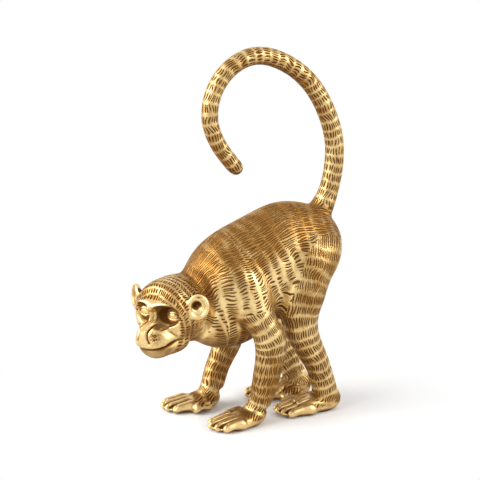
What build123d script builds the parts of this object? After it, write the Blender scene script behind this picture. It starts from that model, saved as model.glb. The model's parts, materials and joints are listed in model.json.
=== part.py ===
from build123d import *
from math import cos, radians, sin, tau
import os

# A monkey figurine in cast brass, walking on all fours, its head turned to its left and its tail
# curled forward over its back. Millimetres. +Z is up, the monkey walks along -Y and its left side
# is +X. The origin is on the surface that it stands on, under the middle of its overall box.

# Whole figure. Places along the body are counted to the rear from the neck seam.
overrun = 4.0
wall = 3.5
joint_clearance = 0.1
end_clearance = 0.5
pin_radius = 3.5
pin_length = 26.0
pin_row_index = 3
outline_places = 12
boss_radius = pin_radius + 2 * wall

# Trunk: one hollow casting, given by its sections from the neck seam to the rump
back_height = 168.0
trunk_length = 132.5
trunk_width = 66.0
trunk_depth = 99.0
neck_forward = 42.5
neck_side = 1.0
neck_turn = 17.0
core_start = 20.0
core_end = 98.0

# each row: place along the trunk, middle height, half width, half depth
trunk_shares = [
    (-0.050, 0.535, 0.360, 0.270),
    (0.074, 0.592, 0.430, 0.375),
    (0.170, 0.610, 0.475, 0.450),
    (0.320, 0.638, 0.490, 0.490),
    (0.452, 0.682, 0.500, 0.480),
    (0.585, 0.730, 0.485, 0.445),
    (0.720, 0.748, 0.445, 0.400),
    (0.837, 0.752, 0.380, 0.340),
    (0.926, 0.757, 0.270, 0.245),
    (0.980, 0.757, 0.150, 0.135),
]

# Head: its middle, past the neck seam, its turn to the left, and the sizes of its parts
head_shift = 3.0
head_reach = 21.1
head_height = 93.0
head_turn = 30.0
skull_length = 58.0
skull_width = 50.0
skull_depth = 57.0
muzzle_reach = 28.5
muzzle_width = 32.0
muzzle_drop = 16.5
brow_width = 38.0
brow_radius = 4.6
brow_rise = 9.2
eye_radius = 5.0
eye_spacing = 24.0
eye_reach = 13.0
eye_rise = 2.0
socket_radius = 7.0
socket_reach = 5.6
ear_height = 21.0
ear_width = 18.5
ear_thickness = 5.0
ear_spread = 56.0
ear_rise = 8.0
ear_turn = 40.0
ear_hollow_radius = 6.0

# each row: place along the skull, rise, half width, half depth
skull_shares = [
    (-0.620, -0.040, 0.47, 0.45),
    (-0.400, -0.030, 0.49, 0.46),
    (-0.140, -0.005, 0.50, 0.47),
    (0.070, 0.005, 0.48, 0.455),
    (0.205, 0.005, 0.42, 0.40),
    (0.262, 0.000, 0.33, 0.31),
    (0.287, 0.000, 0.18, 0.17),
]
# each row: reach, rise above the muzzle's middle, half width, half depth
muzzle_shares = [
    (-0.20, 0.06, 0.56, 0.50),
    (0.25, 0.03, 0.55, 0.52),
    (0.57, 0.00, 0.49, 0.49),
    (0.79, -0.02, 0.43, 0.43),
    (0.93, -0.02, 0.32, 0.33),
    (1.00, 0.00, 0.16, 0.17),
]
# each row: place along the brow, reach, radius
brow_shares = [
    (-0.50, 0.34, 0.45),
    (-0.34, 0.50, 0.92),
    (0.00, 0.58, 0.90),
    (0.34, 0.50, 0.92),
    (0.50, 0.34, 0.45),
]
# each row: place through the ear, size of the ring there
ear_shares = [(-0.50, 0.80), (-0.20, 0.98), (0.15, 1.00), (0.50, 0.86)]

# Arms, from the shoulder seam to the wrist
shoulder_drop = 34.0
shoulder_place = 28.5
shoulder_seam = 18.0
arm_width = 31.0
arm_depth = 42.0
left_elbow_side = 33.3
left_arm_swing = 24.5
right_elbow_side = 31.5
right_arm_swing = 22.0

# each row: height, place to the side, swing to the rear, half width, half depth; the last
# row lies in the hand, at the hand's own height
left_arm_shares = [
    (1.000, 0.42, 0.00, 0.33, 0.33),
    (0.955, 0.55, 0.06, 0.42, 0.42),
    (0.910, 0.65, 0.12, 0.46, 0.48),
    (0.830, 0.73, 0.25, 0.48, 0.50),
    (0.725, 0.82, 0.37, 0.45, 0.44),
    (0.617, 0.94, 0.67, 0.40, 0.34),
    (0.507, 1.00, 0.96, 0.37, 0.31),
    (0.418, 0.97, 1.00, 0.355, 0.29),
    (0.300, 0.91, 0.92, 0.32, 0.27),
    (0.200, 0.85, 0.84, 0.29, 0.25),
    (0.000, 0.76, 0.66, 0.30, 0.25),
]
right_arm_shares = [
    (1.000, 0.44, 0.00, 0.33, 0.33),
    (0.950, 0.58, 0.04, 0.42, 0.42),
    (0.900, 0.68, 0.09, 0.46, 0.48),
    (0.810, 0.76, 0.27, 0.48, 0.48),
    (0.710, 0.86, 0.55, 0.44, 0.40),
    (0.600, 0.95, 0.86, 0.40, 0.34),
    (0.490, 1.00, 1.00, 0.385, 0.315),
    (0.370, 0.98, 0.91, 0.355, 0.295),
    (0.275, 0.98, 0.65, 0.32, 0.27),
    (0.200, 0.95, 0.41, 0.29, 0.25),
    (0.000, 0.87, 0.15, 0.29, 0.24),
]

# Legs, from the hip seam to the ankle
hip_drop = 20.0
hip_seam = 18.0
leg_width = 34.0
leg_depth = 50.0
knee_side = 28.0
left_knee_place = 81.0
left_shin_swing = 26.5
right_knee_place = 78.5
right_shin_swing = 27.0

# each row: height, place to the side, swing to the rear, half width, half depth; the last
# row lies in the foot, at the foot's own height
left_leg_shares = [
    (1.00, 0.43, 0.66, 0.33, 0.34),
    (0.955, 0.60, 0.63, 0.42, 0.43),
    (0.91, 0.70, 0.60, 0.47, 0.47),
    (0.82, 0.82, 0.46, 0.49, 0.47),
    (0.74, 0.91, 0.26, 0.47, 0.41),
    (0.64, 1.00, 0.08, 0.43, 0.36),
    (0.54, 1.00, 0.00, 0.38, 0.30),
    (0.40, 0.96, 0.24, 0.34, 0.266),
    (0.29, 0.89, 0.60, 0.31, 0.23),
    (0.20, 0.82, 0.85, 0.28, 0.205),
    (0.00, 0.77, 1.02, 0.28, 0.21),
]
right_leg_shares = [
    (1.00, 0.43, 0.74, 0.33, 0.34),
    (0.955, 0.60, 0.70, 0.42, 0.43),
    (0.91, 0.70, 0.67, 0.47, 0.47),
    (0.82, 0.82, 0.52, 0.49, 0.47),
    (0.74, 0.91, 0.30, 0.47, 0.41),
    (0.64, 1.00, 0.07, 0.43, 0.36),
    (0.54, 1.00, 0.00, 0.38, 0.30),
    (0.40, 0.97, 0.22, 0.34, 0.266),
    (0.29, 0.93, 0.52, 0.31, 0.23),
    (0.20, 0.85, 0.78, 0.28, 0.205),
    (0.00, 0.72, 1.00, 0.28, 0.21),
]

# Hands: palm, four fingers and a thumb, flat underneath
hand_length = 47.0
hand_width = 25.0
hand_height = 17.0
finger_radius = 3.6
left_wrist_sink = 3.6
right_wrist_sink = 2.26
hand_heel = 5.8
left_hand_turn = 3.0
right_hand_turn = -7.0

# each row: reach, middle height, half width, half height
palm_shares = [
    (0.00, 0.50, 0.24, 0.30),
    (0.13, 0.48, 0.40, 0.52),
    (0.30, 0.36, 0.47, 0.47),
    (0.50, 0.27, 0.51, 0.36),
    (0.66, 0.24, 0.49, 0.30),
]
# each row: place across the hand at the knuckle, length
finger_shares = [(-0.37, 0.93), (-0.125, 1.00), (0.125, 0.97), (0.37, 0.88)]

# Feet: sole, four toes and a big toe set apart like a thumb
foot_length = 54.0
foot_width = 25.0
foot_height = 20.0
toe_radius = 3.6
ankle_sink = 6.68
foot_heel = 11.4
left_foot_turn = -1.0
right_foot_turn = -10.0

# each row: reach, middle height, half width, half height
sole_shares = [
    (0.00, 0.46, 0.25, 0.28),
    (0.10, 0.46, 0.37, 0.50),
    (0.28, 0.39, 0.42, 0.47),
    (0.48, 0.31, 0.46, 0.38),
    (0.70, 0.24, 0.49, 0.29),
]
toe_shares = [(-0.35, 0.97), (-0.12, 1.00), (0.12, 0.97), (0.35, 0.91)]

# Fingers and toes alike: each row is place along the digit, rise, radius
digit_shares = [
    (0.00, 1.20, 0.90),
    (0.42, 1.55, 1.08),
    (0.68, 1.35, 0.95),
    (0.90, 1.02, 0.88),
    (1.00, 0.85, 0.45),
]
digit_start_share = 0.45
digit_splay_share = 1.05
thumb_start_share = 0.22
thumb_reach_share = 0.56
thumb_spread_share = 0.66
thumb_radius_share = 1.15

# Felt pads, set in shallow pockets under the hands and feet
pad_thickness = 1.6
pad_proud = 0.4
pad_gap = 0.3
pad_length_share = 0.40
pad_width_share = 0.56
pad_reach_share = 0.30

# Tail: its middle line as shares of its reach to the rear and of its rise above its root
tail_root_place_share = 0.846
tail_root_height_share = 0.911
tail_seam_share = 0.012
tail_reach = 110.0
tail_rise = 129.0
tail_base_radius = 10.5
tail_radius = 7.75
tail_tip_radius = 6.1
tail_rings = 30
tail_flare_share = 0.11
tail_taper_power = 1.4
# each row: place to the rear, rise
tail_path_shares = [
    (0.000, 0.000),
    (0.092, 0.147),
    (0.132, 0.300),
    (0.132, 0.450),
    (0.075, 0.615),
    (-0.070, 0.815),
    (-0.290, 0.955),
    (-0.520, 1.000),
    (-0.720, 0.925),
    (-0.840, 0.770),
    (-0.855, 0.640),
    (-0.780, 0.480),
    (-0.622, 0.318),
]
# each row: place along the tail, size of the ring against the full radius there
tail_end_shares = [(0.985, 0.93), (0.995, 0.72), (1.000, 0.40)]

# Core plug, closing the hole in the belly through which the core was taken out
plug_radius = 5.0
plug_length = 7.0
plug_row_index = 4
plug_sunk = 0.6


def ring(plane, half_width, half_height):
    """One closed section of a casting, as a round outline on its plane."""
    turns = [tau * step / outline_places for step in range(outline_places)]
    places = [(half_width * cos(turn), half_height * sin(turn)) for turn in turns]
    with BuildSketch(plane) as section:
        with BuildLine():
            Spline(*places, periodic=True)
        make_face()
    return section.sketch


def trunk_sections(inset):
    """The trunk's sections, drawn in by the inset."""
    sections = []
    for along, middle, half_width, half_depth in trunk_shares:
        place = (0, along * trunk_length - neck_forward, middle * back_height)
        plane = Plane(origin=place, x_dir=(1, 0, 0), z_dir=(0, 1, 0))
        sections.append(ring(plane, half_width * trunk_width - inset, half_depth * trunk_depth - inset))
    return sections


def limb_place(row, height, sideways, place, swing):
    """The middle of one of a limb's sections."""
    return Vector(row[1] * sideways, place - neck_forward + row[2] * swing, height)


def limb_sections(shares, ankle, top, width, depth, *course):
    """A limb's level sections, from its top in the trunk to its wrist or ankle."""
    heights = [row[0] * top for row in shares[:-1]] + [ankle]
    sections = []
    for row, height in zip(shares, heights):
        plane = Plane(origin=limb_place(row, height, *course))
        sections.append(ring(plane, row[3] * width, row[4] * depth))
    return sections


def paw_plane(shares, course, heel, turn):
    """The ground under a hand's or foot's heel, with -Y along its digits."""
    under_ankle = Plane(limb_place(shares[-1], 0, *course)).rotated((0, 0, turn))
    return Plane(under_ankle.from_local_coords((0, heel, 0))).rotated((0, 0, turn))


def paw(ground, inner, length, width, height, radius, shares, digits):
    """Adds a hand or foot, with its digits, to the casting in hand."""
    sections = []
    for reach, middle, half_width, half_height in shares:
        place = ground.from_local_coords((0, -reach * length, middle * height))
        plane = Plane(origin=place, x_dir=ground.x_dir, z_dir=-ground.y_dir)
        sections.append(ring(plane, half_width * width, half_height * height))
    loft(sections)
    for across, reach in digits:
        start = (across * width, -digit_start_share * length)
        end = (across * width * digit_splay_share, -reach * length)
        digit(ground, start, end, radius)
    thumb_start = (inner * digit_start_share * width, -thumb_start_share * length)
    thumb_end = (inner * thumb_spread_share * width, -thumb_reach_share * length)
    digit(ground, thumb_start, thumb_end, radius * thumb_radius_share)


def digit(ground, start, end, radius):
    """Adds one finger or toe, from a place in the palm to its tip."""
    start_place = Vector(*start)
    step = Vector(*end) - start_place
    heading = (ground.x_dir * step.X + ground.y_dir * step.Y).normalized()
    sections = []
    for along, rise, size in digit_shares:
        flat = start_place + step * along
        place = ground.from_local_coords((flat.X, flat.Y, rise * radius))
        plane = Plane(origin=place, x_dir=heading.cross(ground.z_dir), z_dir=heading)
        sections.append(ring(plane, size * radius, size * radius))
    loft(sections)


def pad_outline(ground, length, width, gap):
    """The outline of a felt pad under a palm or sole, grown by the gap."""
    middle = ground.from_local_coords((0, -pad_reach_share * length, 0))
    plane = Plane(origin=middle, x_dir=ground.x_dir, z_dir=ground.z_dir)
    half_length = pad_length_share * length / 2 + gap
    half_width = pad_width_share * width / 2 + gap
    return ring(plane, half_width, half_length)


def pin_hole(seam_plane):
    """Cuts the hole for half a pin on each side of a seam."""
    with BuildSketch(seam_plane) as mouth:
        Circle(pin_radius + joint_clearance)
    depth = pin_length / 2 + end_clearance
    extrude(mouth.sketch, amount=depth, both=True, mode=Mode.SUBTRACT)


# Where the castings meet: each seam's plane looks out of the trunk
neck_seam = Plane(
    origin=(neck_side, -neck_forward, trunk_shares[0][1] * back_height),
    x_dir=(cos(radians(neck_turn)), sin(radians(neck_turn)), 0),
    z_dir=(sin(radians(neck_turn)), -cos(radians(neck_turn)), 0),
)
shoulder_height = back_height - shoulder_drop
hip_height = back_height - hip_drop
arm_pin_height = left_arm_shares[pin_row_index][0] * shoulder_height
arm_pin_swing = left_arm_shares[pin_row_index][2] * left_arm_swing
arm_pin_back = shoulder_place - neck_forward + arm_pin_swing
leg_pin_height = left_leg_shares[pin_row_index][0] * hip_height
leg_pin_swing = left_leg_shares[pin_row_index][2] * left_shin_swing
leg_pin_back = left_knee_place - neck_forward + leg_pin_swing
left_shoulder = Plane(origin=(shoulder_seam, arm_pin_back, arm_pin_height), z_dir=(1, 0, 0))
right_shoulder = Plane(origin=(-shoulder_seam, arm_pin_back, arm_pin_height), z_dir=(-1, 0, 0))
left_hip = Plane(origin=(hip_seam, leg_pin_back, leg_pin_height), z_dir=(1, 0, 0))
right_hip = Plane(origin=(-hip_seam, leg_pin_back, leg_pin_height), z_dir=(-1, 0, 0))
sole_plane = Plane.XY.offset(pad_proud)

# Tail
tail_root_back = tail_root_place_share * trunk_length - neck_forward
tail_root_height = tail_root_height_share * back_height
with BuildLine() as tail_line:
    Spline(
        *[
            (0, tail_root_back + back * tail_reach, tail_root_height + rise * tail_rise)
            for back, rise in tail_path_shares
        ]
    )
tail_curve = tail_line.edge()
tail_seam = Plane(
    origin=tail_curve @ tail_seam_share,
    x_dir=(1, 0, 0),
    z_dir=tail_curve % tail_seam_share,
)
seams = {
    "neck": neck_seam,
    "tail": tail_seam,
    "left_shoulder": left_shoulder,
    "right_shoulder": right_shoulder,
    "left_hip": left_hip,
    "right_hip": right_hip,
}


def tail_ring(along, size):
    """The tail's section at a place along its middle line."""
    flare = (tail_base_radius - tail_radius) * max(0, 1 - along / tail_flare_share) ** 2
    full = flare + tail_radius + (tail_tip_radius - tail_radius) * along**tail_taper_power
    plane = Plane(origin=tail_curve @ along, x_dir=(1, 0, 0), z_dir=tail_curve % along)
    return ring(plane, full * size, full * size)


with BuildPart() as tail:
    last_full_ring = tail_end_shares[0][0] - tail_seam_share
    tail_sections = [
        tail_ring(tail_seam_share + last_full_ring * step / tail_rings, 1)
        for step in range(tail_rings)
    ]
    tail_sections += [tail_ring(along, size) for along, size in tail_end_shares]
    loft(tail_sections)
    pin_hole(tail_seam)
tail.part.label = "tail"

# The four limbs, each one casting with its hand or foot
arm_sizes = (shoulder_height, arm_width, arm_depth)
leg_sizes = (hip_height, leg_width, leg_depth)
hand = (hand_length, hand_width, hand_height, finger_radius, palm_shares, finger_shares)
foot = (foot_length, foot_width, foot_height, toe_radius, sole_shares, toe_shares)
left_arm_course = (left_elbow_side, shoulder_place, left_arm_swing)
right_arm_course = (-right_elbow_side, shoulder_place, right_arm_swing)
left_leg_course = (knee_side, left_knee_place, left_shin_swing)
right_leg_course = (-knee_side, right_knee_place, right_shin_swing)
left_wrist = hand_height - left_wrist_sink
right_wrist = hand_height - right_wrist_sink
ankle = foot_height - ankle_sink
limb_plans = {
    "left_arm": (
        (left_arm_shares, left_wrist, *arm_sizes, *left_arm_course),
        paw_plane(left_arm_shares, left_arm_course, hand_heel, left_hand_turn),
        hand,
    ),
    "right_arm": (
        (right_arm_shares, right_wrist, *arm_sizes, *right_arm_course),
        paw_plane(right_arm_shares, right_arm_course, hand_heel, right_hand_turn),
        hand,
    ),
    "left_leg": (
        (left_leg_shares, ankle, *leg_sizes, *left_leg_course),
        paw_plane(left_leg_shares, left_leg_course, foot_heel, left_foot_turn),
        foot,
    ),
    "right_leg": (
        (right_leg_shares, ankle, *leg_sizes, *right_leg_course),
        paw_plane(right_leg_shares, right_leg_course, foot_heel, right_foot_turn),
        foot,
    ),
}
limb_seams = {
    "left_arm": left_shoulder,
    "right_arm": right_shoulder,
    "left_leg": left_hip,
    "right_leg": right_hip,
}
limbs = {}
for name, (path, ground, end_part) in limb_plans.items():
    seam = limb_seams[name]
    inner = -1 if name.startswith("left") else 1
    with BuildPart() as limb:
        loft(limb_sections(*path))
        split(bisect_by=seam, keep=Keep.TOP)
        paw(ground, inner, *end_part)
        split(bisect_by=sole_plane, keep=Keep.TOP)
        pocket = pad_outline(ground, end_part[0], end_part[1], pad_gap)
        extrude(pocket, amount=pad_thickness, mode=Mode.SUBTRACT)
        pin_hole(seam)
    limb.part.label = name
    limbs[name] = limb

# Head
face_plane = Plane(
    origin=(neck_side + head_shift, -neck_forward - head_reach, head_height),
    x_dir=(cos(radians(head_turn)), sin(radians(head_turn)), 0),
    z_dir=(0, 0, 1),
)


def face_place(left, reach, rise):
    """A place in the head's own frame, reach being towards the muzzle."""
    return face_plane.from_local_coords((left, -reach, rise))


def face_ring(reach, rise, half_width, half_depth):
    """A section of the head, square to the way that it looks."""
    plane = Plane(
        origin=face_place(0, reach, rise),
        x_dir=face_plane.x_dir,
        z_dir=-face_plane.y_dir,
    )
    return ring(plane, half_width, half_depth)


with BuildPart() as head:
    loft(
        [
            face_ring(
                along * skull_length,
                rise * skull_depth,
                half_width * skull_width,
                half_depth * skull_depth,
            )
            for along, rise, half_width, half_depth in skull_shares
        ]
    )
    loft(
        [
            face_ring(
                along * muzzle_reach,
                rise * muzzle_width - muzzle_drop,
                half_width * muzzle_width,
                half_depth * muzzle_width,
            )
            for along, rise, half_width, half_depth in muzzle_shares
        ]
    )
    split(bisect_by=neck_seam, keep=Keep.TOP)
    brow_sections = []
    for along, reach, size in brow_shares:
        place = face_place(along * brow_width, reach * muzzle_reach, brow_rise)
        plane = Plane(origin=place, x_dir=-face_plane.y_dir, z_dir=face_plane.x_dir)
        brow_sections.append(ring(plane, size * brow_radius, size * brow_radius))
    loft(brow_sections)
    for side in (-1, 1):
        socket_place = face_place(side * eye_spacing / 2, eye_reach + socket_reach, eye_rise)
        with Locations(Location(socket_place, (0, 0, head_turn))):
            Sphere(socket_radius, rotation=(0, 90, 0), mode=Mode.SUBTRACT)
    for side in (-1, 1):
        eye_place = face_place(side * eye_spacing / 2, eye_reach, eye_rise)
        with Locations(Location(eye_place, (0, 0, head_turn))):
            Sphere(eye_radius, rotation=(0, 90, 0))
    for side in (-1, 1):
        ear_heading = radians(head_turn + side * ear_turn)
        ear_axis = Vector(sin(ear_heading), -cos(ear_heading), 0)
        ear_middle = face_place(side * ear_spread / 2, 0, ear_rise)
        ear_sections = []
        for through, size in ear_shares:
            plane = Plane(
                origin=ear_middle + ear_axis * (through * ear_thickness),
                x_dir=ear_axis.cross(Vector(0, 0, 1)),
                z_dir=ear_axis,
            )
            ear_sections.append(ring(plane, size * ear_width / 2, size * ear_height / 2))
        loft(ear_sections)
        with Locations(ear_middle + ear_axis * ear_hollow_radius):
            Sphere(ear_hollow_radius, mode=Mode.SUBTRACT)
    pin_hole(neck_seam)
head.part.label = "head"

# Trunk: the outer form less the core, the seats of the other castings and the pin holes
with BuildPart() as core:
    loft(trunk_sections(wall))
    front = Plane.XZ.offset(neck_forward - core_start)
    split(bisect_by=front, keep=Keep.BOTTOM)
    rear = Plane.XZ.offset(neck_forward - core_end)
    split(bisect_by=rear, keep=Keep.TOP)
    for back, height in ((arm_pin_back, arm_pin_height), (leg_pin_back, leg_pin_height)):
        with BuildSketch(Plane(origin=(0, back, height), z_dir=(1, 0, 0))) as rod:
            Circle(boss_radius)
        extrude(rod.sketch, amount=trunk_width, both=True, mode=Mode.SUBTRACT)
    for side, seam, back, height, radius in (
        (1, shoulder_seam, arm_pin_back, arm_pin_height, arm_depth / 2),
        (-1, shoulder_seam, arm_pin_back, arm_pin_height, arm_depth / 2),
        (1, hip_seam, leg_pin_back, leg_pin_height, leg_depth / 2),
        (-1, hip_seam, leg_pin_back, leg_pin_height, leg_depth / 2),
    ):
        seat = Plane(origin=(side * (seam - wall), back, height), z_dir=(side, 0, 0))
        with BuildSketch(seat) as boss:
            Circle(radius + wall)
        extrude(boss.sketch, amount=trunk_width, mode=Mode.SUBTRACT)

plug_row = trunk_shares[plug_row_index]
plug_back = plug_row[0] * trunk_length - neck_forward
belly_height = plug_row[1] * back_height - plug_row[3] * trunk_depth
with BuildPart() as trunk:
    loft(trunk_sections(0))
    split(bisect_by=neck_seam, keep=Keep.BOTTOM)
    add(core.part, mode=Mode.SUBTRACT)
    for casting in (*limbs.values(), tail):
        add(casting.part, mode=Mode.SUBTRACT)
    for seam in seams.values():
        pin_hole(seam)
    with BuildSketch(Plane((0, plug_back, belly_height - overrun))) as core_hole:
        Circle(plug_radius + joint_clearance)
    extrude(core_hole.sketch, amount=2 * overrun + wall, mode=Mode.SUBTRACT)
trunk.part.label = "trunk"

# Core plug
with BuildPart() as core_plug:
    with BuildSketch(Plane((0, plug_back, belly_height + plug_sunk))) as plug_face:
        Circle(plug_radius)
    extrude(plug_face.sketch, amount=plug_length)
core_plug.part.label = "core_plug"

# Pins across the seams
pins = {}
for name, seam in seams.items():
    with BuildPart() as pin:
        with BuildSketch(seam) as pin_section:
            Circle(pin_radius)
        extrude(pin_section.sketch, amount=pin_length / 2, both=True)
    pin.part.label = name + "_pin"
    pins[name] = pin

# Felt pads, one under each hand and foot
pads = {}
for name, (path, ground, end_part) in limb_plans.items():
    with BuildPart() as pad:
        extrude(pad_outline(ground, end_part[0], end_part[1], 0), amount=pad_thickness)
    pad.part.label = name + "_felt_pad"
    pads[name] = pad

os.makedirs("parts", exist_ok=True)
for piece in (head, trunk, tail, core_plug, *limbs.values(), *pins.values(), *pads.values()):
    box = piece.part.bounding_box()
    print(piece.part.label, len(piece.part.solids()), round(piece.part.volume), box.min, box.max)
    export_step(piece.part, "parts/" + piece.part.label + ".step")
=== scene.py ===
import json
import math
import bpy
import bmesh
import numpy as np
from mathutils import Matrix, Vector, noise
from mathutils.bvhtree import BVHTree

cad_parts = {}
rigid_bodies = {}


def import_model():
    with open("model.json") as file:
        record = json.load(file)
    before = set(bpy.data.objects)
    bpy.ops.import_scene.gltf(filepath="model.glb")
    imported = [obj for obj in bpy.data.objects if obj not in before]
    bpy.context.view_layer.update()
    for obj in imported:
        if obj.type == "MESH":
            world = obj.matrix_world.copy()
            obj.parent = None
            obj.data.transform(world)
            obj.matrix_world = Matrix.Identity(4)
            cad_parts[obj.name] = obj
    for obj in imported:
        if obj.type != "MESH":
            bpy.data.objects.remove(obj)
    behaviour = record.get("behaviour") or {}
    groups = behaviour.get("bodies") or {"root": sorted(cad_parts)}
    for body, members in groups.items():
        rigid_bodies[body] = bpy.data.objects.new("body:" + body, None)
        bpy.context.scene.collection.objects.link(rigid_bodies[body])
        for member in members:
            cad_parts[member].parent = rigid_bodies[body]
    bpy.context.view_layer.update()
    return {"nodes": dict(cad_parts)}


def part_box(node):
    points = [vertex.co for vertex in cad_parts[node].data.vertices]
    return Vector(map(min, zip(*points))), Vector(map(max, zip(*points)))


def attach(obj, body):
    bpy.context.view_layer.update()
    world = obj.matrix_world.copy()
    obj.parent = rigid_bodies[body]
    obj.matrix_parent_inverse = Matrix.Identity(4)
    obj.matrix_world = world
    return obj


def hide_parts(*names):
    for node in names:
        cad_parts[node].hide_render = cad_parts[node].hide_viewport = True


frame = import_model()
bpy.ops.object.select_all(action="DESELECT")
scene = bpy.context.scene
millimetre = 0.001

# how the one skin over all castings is made, in mm
skin = {
    "coarseVoxel": 1.1,
    "weld": 0.01,
    "filletRounds": 26,  # each round takes new normals
    "stepsPerRound": 5,
    "filletRadius": 11.0,
    "neckRadius": 40.0,
    "neck": (1, -42.5, 89.9),
    "neckHeading": (0.292, -0.956, 0),
    "neckWidth": 14.0,
    "neckRear": -22.0,
    "headRear": -30.0,
    "headReach": 60.0,
    "faceStart": (-8.0, 4.0),  # no creases are filled on the face, the ears and the paws
    "earRoots": (24, 16, -8),
    "pawTops": (16.0, 24.0),
    "softenAfter": 3,
    "softenRounds": 12,
    "measured": 4.0,  # how far off a casting is still measured
    "ownReach": 8.0,  # skin further off than this is another casting's
    "seamClip": 3.0,
    "seamSoftenRounds": 14,
    "ownSoftenRounds": 10,
    "seamOverlap": 0.5,  # so that no crack shows between two pieces
    "seamDepth": 3.0,
}

# centre lines in mm, used for the rows of fur and for where the trunk's fur lies
centreLines = {
    "trunk": [(1, -60, 84), (1, -49, 90), (0, -33, 99), (0, -20, 102.5), (0, 0, 107), (0, 17, 114.6),
              (0, 35, 122.6), (0, 53, 125.7), (0, 68, 126.3), (0, 80, 127.2), (0, 95, 127.2)],
    "left_arm": [(22, -9, 124), (24.3, -8, 111), (27.3, -4.9, 97), (31.3, 2.4, 82.7), (33.3, 9.5, 68),
                 (32.3, 10.5, 56), (30.3, 8.5, 40), (28.3, 6.6, 26.8), (25.3, 2.2, 13.4), (25, -4, 4)],
    "right_arm": [(-22, -9, 124), (-24, -8, 108.5), (-27, -2, 95), (-30, 5, 80.4), (-31.5, 8, 65.7),
                  (-31, 6, 49.6), (-31, 0.3, 36.9), (-30, -5, 26.8), (-27.5, -10.7, 14.7), (-28, -20, 4)],
    "left_leg": [(16, 55.5, 138), (19.6, 54.4, 134.7), (23, 50.7, 121.4), (25.5, 45.4, 109.5),
                 (28, 40.6, 94.7), (28, 38.5, 80), (26.9, 44.9, 59.2), (24.9, 54.4, 42.9),
                 (23, 61, 29.6), (21.6, 65.5, 13.3), (21.4, 64, 4)],
    "right_leg": [(-16, 55.5, 138), (-19.6, 54.1, 134.7), (-23, 50, 121.4), (-25.5, 44, 109.5),
                  (-28, 37.9, 94.7), (-28, 36, 80), (-27.2, 42, 59.2), (-26, 50, 42.9),
                  (-23.8, 57, 29.6), (-20.2, 63, 13.3), (-19, 61, 4)],
}

centreLines["tail"] = [(0, 69.6, 153), (0, 79.7, 172), (0, 84.1, 191.7), (0, 84.1, 211.1), (0, 77.9, 232.4),
                       (0, 61.9, 258.2), (0, 37.7, 276.2), (0, 12.4, 282), (0, -9.6, 272.4),
                       (0, -22.8, 252.4), (0, -24.5, 235.6), (0, -16.2, 215), (0, 1.2, 194)]

head = {
    "middle": (4.0, -63.6, 93.0),
    "turn": 30.0,
    "furMiddle": (0.0, -2.0, 2.0),
    "furTilt": -20.0,
    "furRadius": 27.0,
    "furStart": (23.0, 27.0),  # from the middle of the face outwards, in mm
    "ears": (22, 13, -6),
    "earRoot": (22.0, 25.5),
}


def pick(piece):
    bpy.ops.object.select_all(action="DESELECT")
    piece.select_set(True)
    bpy.context.view_layer.objects.active = piece


def runModifier(piece, kind, **settings):
    pick(piece)
    modifier = piece.modifiers.new(kind.title(), kind)
    for name, value in settings.items():
        setattr(modifier, name, value)
    bpy.ops.object.modifier_apply(modifier=modifier.name)


def editAll(piece, *steps):
    pick(piece)
    bpy.ops.object.mode_set(mode="EDIT")
    bpy.ops.mesh.select_mode(type="VERT")
    bpy.ops.mesh.select_all(action="SELECT")
    for step in steps:
        step()
    bpy.ops.object.mode_set(mode="OBJECT")


def placesOf(piece):
    flat = np.empty(len(piece.data.vertices) * 3, np.float32)
    piece.data.vertices.foreach_get("co", flat)
    return flat.reshape(-1, 3).astype(float) / millimetre


def normalsOf(piece):
    flat = np.empty(len(piece.data.vertices) * 3, np.float32)
    piece.data.vertex_normals.foreach_get("vector", flat)
    return flat.reshape(-1, 3).astype(float)


def edgesOf(piece):
    flat = np.empty(len(piece.data.edges) * 2, np.int32)
    piece.data.edges.foreach_get("vertices", flat)
    return flat.reshape(-1, 2)


def setPlaces(piece, places):
    piece.data.vertices.foreach_set("co", (places * millimetre).astype(np.float32).ravel())
    piece.data.update()


def neighbourMean(values, edges):
    count = np.bincount(edges.ravel(), minlength=len(values)).astype(float)
    count[count == 0] = 1
    columns = values.reshape(len(values), -1)
    means = np.empty_like(columns)
    for k in range(columns.shape[1]):
        total = np.bincount(edges[:, 0], weights=columns[edges[:, 1], k], minlength=len(values))
        total += np.bincount(edges[:, 1], weights=columns[edges[:, 0], k], minlength=len(values))
        means[:, k] = total / count
    return means.reshape(values.shape)


def smoothed(values, edges, rounds, share=0.5):
    for _ in range(rounds):
        values = values + (neighbourMean(values, edges) - values) * share
    return values


def smoothStep(low, high, value):
    t = np.clip((value - low) / (high - low), 0, 1)
    return t * t * (3 - 2 * t)


def keepOuterSkin(piece):
    # the hollow inside and the pin holes are shut off, so they are islands of their own
    places = placesOf(piece)
    marks = np.zeros(len(places), bool)
    marks[places[:, 2].argmax()] = True
    pick(piece)
    bpy.ops.object.mode_set(mode="EDIT")
    bpy.ops.mesh.select_all(action="DESELECT")
    bpy.ops.object.mode_set(mode="OBJECT")
    piece.data.vertices.foreach_set("select", marks)
    bpy.ops.object.mode_set(mode="EDIT")
    bpy.ops.mesh.select_linked()
    bpy.ops.mesh.select_all(action="INVERT")
    bpy.ops.mesh.delete(type="VERT")
    bpy.ops.object.mode_set(mode="OBJECT")


def copyOfNodes(names, title):
    copies = []
    for name in names:
        copied = bpy.data.objects.new(title, frame["nodes"][name].data.copy())
        copied.data.materials.clear()
        scene.collection.objects.link(copied)
        copies.append(copied)
    pick(copies[0])
    for copied in copies:
        copied.select_set(True)
    if len(copies) > 1:
        bpy.ops.object.join()
    editAll(copies[0], lambda: bpy.ops.mesh.remove_doubles(threshold=skin["weld"] * millimetre))
    return copies[0]


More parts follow.
